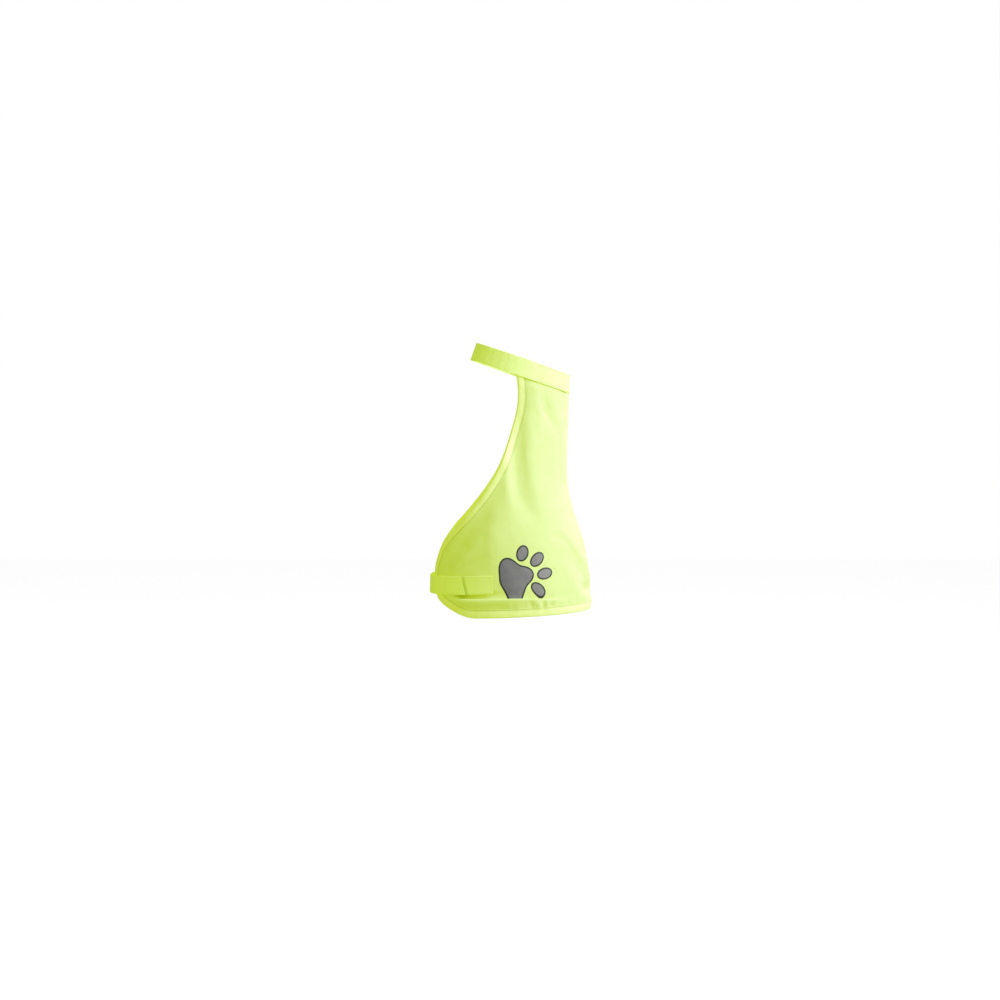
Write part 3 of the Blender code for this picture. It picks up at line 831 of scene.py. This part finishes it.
# How far the inner face of each strap and tape lies off the form, some of them by angle.
WEBBING, HOOK_AND_LOOP = 1.3, 1.0
LOOP_LIFT, HOOK_LIFT, OVER_LIFT = 1.3, 2.45, 3.6
BINDING_TOP, SEWN_LIFT, ROOT_LIFT = 2.5, 1.4, 1.3
BELLY_LIFTS = (
    (BELLY_END, OVER_LIFT + 1.2), (131, OVER_LIFT + 0.3), (136, OVER_LIFT), (154, OVER_LIFT),
    (172, 1.0), (188, 1.0), (196, BINDING_TOP), (214, BINDING_TOP), (220, 1.35), (BELLY_ROOT, ROOT_LIFT),
)
NECK_LOOP_LIFT = WEBBING + 0.15
NECK_HOOK_LIFT = NECK_LOOP_LIFT + HOOK_AND_LOOP + 0.1
NECK_STACK = NECK_HOOK_LIFT + HOOK_AND_LOOP + 0.15
NECK_LIFTS = (
    (NECK_UNDER, 0.0), (-140, 0.0), (-112, BINDING_TOP), (-80, BINDING_TOP), (-72, SEWN_LIFT),
    (72, SEWN_LIFT), (80, BINDING_TOP), (112, BINDING_TOP), (155, NECK_STACK), (NECK_OVER, NECK_STACK),
)

# Stitches: how far inside an edge, how far off a strap, and the spacing of their lines' points.
TAPE_INSET, END_INSET, ROOT_INSET = 2.2, 3.2, 3.0
THREAD_LIFT = 0.1
LINE_DEGREES, LINE_MM = 0.6, 1.0
ROOT_BOX = 13  # the stitched box where the belly strap is sewn on, in degrees
SEWN_TO, SEWN_UP, SEWN_POINTS = 73, 12.4, 212  # where the neck strap is sewn to the cape


def lifts_at(rows, angle):
    """The lift at each angle: smooth steps between a table's rows."""
    out = np.full(np.shape(angle), float(rows[-1][1]))
    for (low, low_lift), (high, high_lift) in reversed(list(zip(rows, rows[1:]))):
        share = ease((angle - low) / (high - low))
        out = np.where(angle <= high, low_lift + (high_lift - low_lift) * share, out)
    return out


def level(lift):
    """The same lift all round."""
    return ((0, lift), (360, lift))


def strap_wave(angle):
    """A strap's own faint unevenness."""
    return 0.12 * np.sin(angle * 0.23 + 0.8) + 0.07 * np.sin(angle * 0.61)


def strip(name, node_name, first, last, centre, lifts, material, width, slant=0.0, covered=math.inf):
    """A strap or tape of even width wrapped round the form between two angles, closed all round.
    Webbing's first end is darker: partly its melted seal, partly painted shade of the gap under it. Where
    something reaches past the angle covered, shade is painted on what lies below it."""
    webbing = material is webbing_tape
    thickness = WEBBING if webbing else HOOK_AND_LOOP
    angles = spread(first, last, STRAP_ROW / DEGREE_MM)
    centres = centre(angles)
    base = lifts_at(lifts, angles)
    if webbing:
        base = base + strap_wave(angles)
    round_mm, _ = scales(angles, centres)
    gaps = np.abs(np.diff(angles)) * (round_mm[1:] + round_mm[:-1]) / 2
    distance = np.concatenate([[0], np.cumsum(gaps)])
    to_end = np.minimum(distance, distance[-1] - distance)
    shrink = np.sqrt(np.clip(1 - (1 - np.clip(to_end / END_ROUND, 0, 1)) ** 2, 0.05, 1))
    rings, flat = [], []
    for across, through_it in STRAP_SECTION:
        shift = -across * slant * np.clip(1 - distance / SLANT_FADE, 0, 1)
        angle, along = moved(angles, centres, shift, across * width)
        lift = base + thickness * (0.5 + (through_it - 0.5) * shrink)
        rings.append(on_form(angle, along, lift))
        # Painted shade under and beside the end of a strap that lies on this one.
        past = (covered - angles) * round_mm + across * BELLY_SLANT
        shade = COVER_SHADE * ease(1 - past / COVER_REACH)
        flat.append(np.stack([distance, across * width + 0 * distance, shade], -1))
    rings, flat = np.stack(rings, 1), np.stack(flat, 1)
    rows, columns = rings.shape[:2]
    piece = make_mesh(name, rings, tube_faces(rows, columns), material, flat=flat)
    # The end face takes a darker material: partly the melted seal, partly painted shade of the gap under
    # the end.
    if webbing:
        piece.data.materials.append(sealed_end_and_shade)
        for face in piece.data.polygons:
            face.material_index = int(max(face.vertices) < 2 * columns)
    return place_piece(piece, "tape" if webbing else "hook_and_loop", node_name)


def belly_line(angle):
    """How high the middle of the belly strap is."""
    return np.full(np.shape(angle), float(BELLY_ALONG))


def neck_line(angle):
    """How high the middle of the neck strap is: half its width below the neckline."""
    return moved(angle, np.full(np.shape(angle), float(NECKLINE)), 0, -STRAP_WIDTH / 2)[1]


def outline_rows(first, last, centre, inset, lift):
    """A rectangle of stitches just inside a band's edges."""
    step = inset / DEGREE_MM
    low, high = first + step, last - step
    half = STRAP_WIDTH / 2 - inset
    lines = []
    for up in (half, -half):
        angle = spread(low, high, LINE_DEGREES)
        lines.append(seam_line(on_form, *moved(angle, centre(angle), 0, up), lift))
    for end in (low, high):
        up = spread(-half, half, LINE_MM)
        angle = np.full(up.shape, end)
        lines.append(seam_line(on_form, *moved(angle, centre(angle), 0, up), lift))
    return lines


def cross_rows(first, last, centre, inset, lift):
    """The two diagonals of a stitched box."""
    step = inset / DEGREE_MM
    half = STRAP_WIDTH / 2 - inset
    share = np.linspace(0, 1, 24)
    angle = first + step + (last - first - 2 * step) * share
    rises = [sign * half * (2 * share - 1) for sign in (1, -1)]
    return [seam_line(on_form, *moved(angle, centre(angle), 0, rise), lift) for rise in rises]


def straps():
    """Both straps and the tapes that close them."""
    neck_patch = NECK_PATCH_FROM, NECK_PATCH_TO, neck_line
    return (
        strip("belly_webbing", "belly_strap", BELLY_END, BELLY_ROOT, belly_line, BELLY_LIFTS, webbing_tape,
              STRAP_WIDTH, slant=BELLY_SLANT),
        strip("neck_webbing", "neck_strap", NECK_UNDER, NECK_OVER, neck_line, NECK_LIFTS, webbing_tape,
              STRAP_WIDTH),
        strip("belly_loop_tape", "belly_loop", LOOP_FROM, LOOP_TO, belly_line, level(LOOP_LIFT), loop_pile,
              STRAP_WIDTH, covered=BELLY_END),
        strip("belly_hook_tape", "belly_hook", HOOK_FROM, HOOK_TO, belly_line, level(HOOK_LIFT), hook_plate,
              PATCH_WIDTH),
        strip("neck_loop_tape", "neck_loop", *neck_patch, level(NECK_LOOP_LIFT), loop_pile, PATCH_WIDTH),
        strip("neck_hook_tape", "neck_hook", *neck_patch, level(NECK_HOOK_LIFT), hook_plate, PATCH_WIDTH),
    )


def strap_stitches():
    """The stitches of the loop tape, of the belly strap and of the neck strap."""
    strap_top = WEBBING * SECTION_TOP
    rows = outline_rows(LOOP_FROM, LOOP_TO, belly_line, TAPE_INSET, LOOP_LIFT + HOOK_AND_LOOP * SECTION_TOP)
    tape_seam = stitches("belly_loop_stitches", "hook_and_loop", rows)
    over = OVER_LIFT + strap_top + THREAD_LIFT
    rows = outline_rows(HOOK_FROM - 0.6, HOOK_TO + 1, belly_line, END_INSET, over)
    box = BELLY_ROOT - ROOT_BOX, BELLY_ROOT, belly_line, ROOT_INSET, ROOT_LIFT + strap_top + THREAD_LIFT
    rows += outline_rows(*box) + cross_rows(*box)
    belly_seam = stitches("belly_strap_stitches", "tape", rows)
    sewn = np.linspace(-SEWN_TO, SEWN_TO, SEWN_POINTS)
    sewn_lift = SEWN_LIFT + strap_top
    rows = [
        seam_line(on_form, *moved(sewn, neck_line(sewn), 0, up), sewn_lift) for up in (SEWN_UP, -SEWN_UP)
    ]
    rows += outline_rows(NECK_PATCH_FROM, NECK_PATCH_TO, neck_line, END_INSET, NECK_STACK + strap_top)
    return tape_seam, belly_seam, stitches("neck_strap_stitches", "tape", rows)


# ---- the paw

PAD_SIDES, TOE_SIDES = 120, 64
FILM = 0.25
FILM_LIFT = CLOTH + 0.06
FILM_EDGE = 0.1  # how far the film's edge sinks towards the cape
# Rings of points inside a print's outline: how far in, how far up, and how dark the rim is there.
RIM_RINGS = ((0.0, 0.0, 1.0), (0.35, 1.0, 1.0), (1.2, 1.0, 1.0), (2.1, 1.0, 0.95), (2.6, 1.0, 0.0))
FILM_MM = 2.0
CLEAR_OF_RIM = 0.6 * FILM_MM
PLEAT_HIDES = 1.0  # how far above the pleat's ridge the print ends


def rotated(x, y, tilt):
    """A place turned by some degrees."""
    turn = math.radians(tilt)
    return x * math.cos(turn) - y * math.sin(turn), x * math.sin(turn) + y * math.cos(turn)


def pad_shape():
    """The pad's outline."""
    turn = np.linspace(0, 2 * math.pi, PAD_SIDES, endpoint=False)
    radius = sum(wave * np.cos(n * turn) for n, wave in enumerate(PAD_WAVES))
    return np.stack(rotated(radius * np.cos(turn), radius * np.sin(turn), PAD_TILT), -1)


def toe_shape(toe_long, toe_short, tilt):
    """A toe's outline."""
    turn = np.linspace(0, 2 * math.pi, TOE_SIDES, endpoint=False)
    return np.stack(rotated(toe_long / 2 * np.cos(turn), toe_short / 2 * np.sin(turn), tilt), -1)


def inset_shape(shape, distance):
    """A closed shape moved inwards."""
    run = np.roll(shape, -1, 0) - np.roll(shape, 1, 0)
    run /= np.linalg.norm(run, axis=1, keepdims=True)
    return shape + distance * np.stack([-run[:, 1], run[:, 0]], -1)


def film_piece(name, shape, across, up, node_name):
    """A print on the cape, filled with even triangles and cut off at the pleat's ridge."""
    shape = shape + np.array([across, up])
    rings = [inset_shape(shape, inset) for inset, _, _ in RIM_RINGS]
    low, high = shape.min(0), shape.max(0)
    core = rings[-1]
    grid = [
        (x, y)
        for x in spread(low[0], high[0], FILM_MM)
        for y in spread(low[1], high[1], FILM_MM)
        if in_shape((x, y), core) and np.hypot(core[:, 0] - x, core[:, 1] - y).min() > CLEAR_OF_RIM
    ]
    count = len(shape)
    places = np.concatenate([*rings, np.array(grid)])
    edges = [(r * count + i, r * count + (i + 1) % count) for r in range(len(rings)) for i in range(count)]
    kept, _, faces, originals, *_ = delaunay_2d_cdt([Vector(place) for place in places], edges, [], 1, 1e-5)
    kept = np.array([tuple(place) for place in kept])
    last = len(rings) - 1
    ring_of = [min(origin[0] // count, last) if origin else last for origin in originals]
    _, raised, rim = np.array(RIM_RINGS)[ring_of].T
    angle, along = moved(PAW_ANGLE, PAW_ALONG, kept[:, 0], kept[:, 1])
    floor = pleat_line(angle) + PLEAT_HIDES
    faces = [face for face in faces if all(along[k] > floor[k] - FILM_MM for k in face)]
    along = np.maximum(along, floor)
    points = on_cape(angle, along, FILM_LIFT + FILM / 2 - FILM_EDGE * (1 - raised))
    flat = np.stack([kept[:, 0], kept[:, 1], 0 * kept[:, 0]], -1)
    used = sorted({k for face in faces for k in face})
    index = {k: i for i, k in enumerate(used)}
    faces = [tuple(index[k] for k in face) for face in faces]
    rim = np.repeat(rim[used, None], 3, 1)
    piece = make_mesh(name, points[used], faces, film, flat=flat[used], rim=rim)
    thicken(piece, FILM)
    return place_piece(piece, "reflective_film", node_name)


def in_shape(place, shape):
    """Whether a place is inside a closed shape."""
    x, y = place
    x0, y0 = shape[:, 0], shape[:, 1]
    x1, y1 = np.roll(x0, -1), np.roll(y0, -1)
    crosses = (y0 > y) != (y1 > y)
    rise = np.where(crosses, y1 - y0, 1.0)
    return bool(np.count_nonzero(crosses & (x < x0 + (x1 - x0) * (y - y0) / rise)) % 2)


def paw():
    """The pad and the toes."""
    pieces = [film_piece("paw_print_pad", pad_shape(), 0, 0, "paw_pad")]
    for number, row in enumerate(TOES, start=1):
        toe = dict(zip(TOE_COLUMNS, row))
        shape = toe_shape(toe["long"], toe["short"], toe["tilt"])
        name = f"paw_print_toe_{number}"
        pieces.append(film_piece(name, shape, toe["across"], toe["up"], f"paw_toe_{number}"))
    return pieces


cape = back_panel()
binding = edge_binding()
seam = binding_stitches()
belly, neck, loop, hook, neck_loop, neck_hook = straps()
loop_seam, belly_seam, neck_seam = strap_stitches()
prints = paw()

# ---- floor, light and camera

FLOOR_Z, FLOOR_REACH = -0.93, 7.0
FLOOR_GREY, FLOOR_GLOW = 0.30, 0.94
WORLD_SEEN, WORLD_GIVEN = 1.0, 0.08
MIDDLE = Vector((-0.0399, 0.0, -0.2326))  # what the lights and the camera are aimed at
# Each light: its name, size in metres, power in watts, azimuth, elevation and distance.
LIGHTS = (
    ("key", 1.8, 205, 28, 30, 2.5),
    ("front_fill", 1.6, 22, 98, 14, 2.5),
    ("far_fill", 1.6, 105, -60, 32, 2.5),
)
LENS, SENSOR = 65, 36
CAMERA = (90, 3, 3.0)  # its azimuth, elevation and distance


def make_floor():
    """A plain pale floor that gives no light of its own to the vest."""
    mesh = bpy.data.meshes.new("studio_floor")
    corners = [(x * FLOOR_REACH, y * FLOOR_REACH, FLOOR_Z) for x, y in ((-1, -1), (1, -1), (1, 1), (-1, 1))]
    mesh.from_pydata(corners, [], [(0, 1, 2, 3)])
    material = bpy.data.materials.new("studio_floor")
    material.use_nodes = True
    put(material.node_tree, material.node_tree.nodes["Principled BSDF"], {
        "Base Color": (FLOOR_GREY, FLOOR_GREY, FLOOR_GREY, 1),
        "Roughness": 0.9,
        "Specular IOR Level": 0.1,
        "Emission Color": (1, 1, 1, 1),
        "Emission Strength": FLOOR_GLOW,
    })
    mesh.materials.append(material)
    floor = bpy.data.objects.new("studio_floor", mesh)
    floor.visible_diffuse = floor.visible_glossy = False
    bpy.context.scene.collection.objects.link(floor)


def aimed(name, data, azimuth, elevation, distance):
    """A light or camera aimed at the vest. Azimuth 0 is out of the spine, 90 to the wearer's left."""
    a, e = math.radians(azimuth), math.radians(elevation)
    away = Vector((math.cos(a) * math.cos(e), -math.sin(a) * math.cos(e), math.sin(e)))
    made = bpy.data.objects.new(name, data)
    made.location = MIDDLE + away * distance
    made.rotation_mode = "QUATERNION"
    made.rotation_quaternion = away.to_track_quat("Z", "Y")
    bpy.context.scene.collection.objects.link(made)
    return made


def softbox(name, size, power, *place):
    """A square area light."""
    light = bpy.data.lights.new(name, "AREA")
    light.shape = "SQUARE"
    light.size = size
    light.energy = power
    aimed(name, light, *place)


def make_world(seen, given):
    """White all round: as bright as seen behind the vest, and as bright as given for its light."""
    world = bpy.data.worlds.new("studio")
    world.use_nodes = True
    tree = world.node_tree
    rays = node(tree, "ShaderNodeLightPath", {}).outputs["Is Camera Ray"]
    strength = node(tree, "ShaderNodeMapRange", {"Value": rays, "To Min": given, "To Max": seen})
    put(tree, tree.nodes["Background"], {"Color": (1, 1, 1, 1), "Strength": strength.outputs[0]})
    bpy.context.scene.world = world


def make_camera():
    """The photograph's view: from the wearer's left, a little above the vest's middle."""
    camera = bpy.data.cameras.new("camera")
    camera.lens, camera.sensor_width = LENS, SENSOR
    camera.clip_end = 50
    bpy.context.scene.camera = aimed("camera", camera, *CAMERA)


make_floor()
make_world(WORLD_SEEN, WORLD_GIVEN)
for row in LIGHTS:
    softbox(*row)
make_camera()
bpy.context.scene.view_settings.view_transform = "Standard"
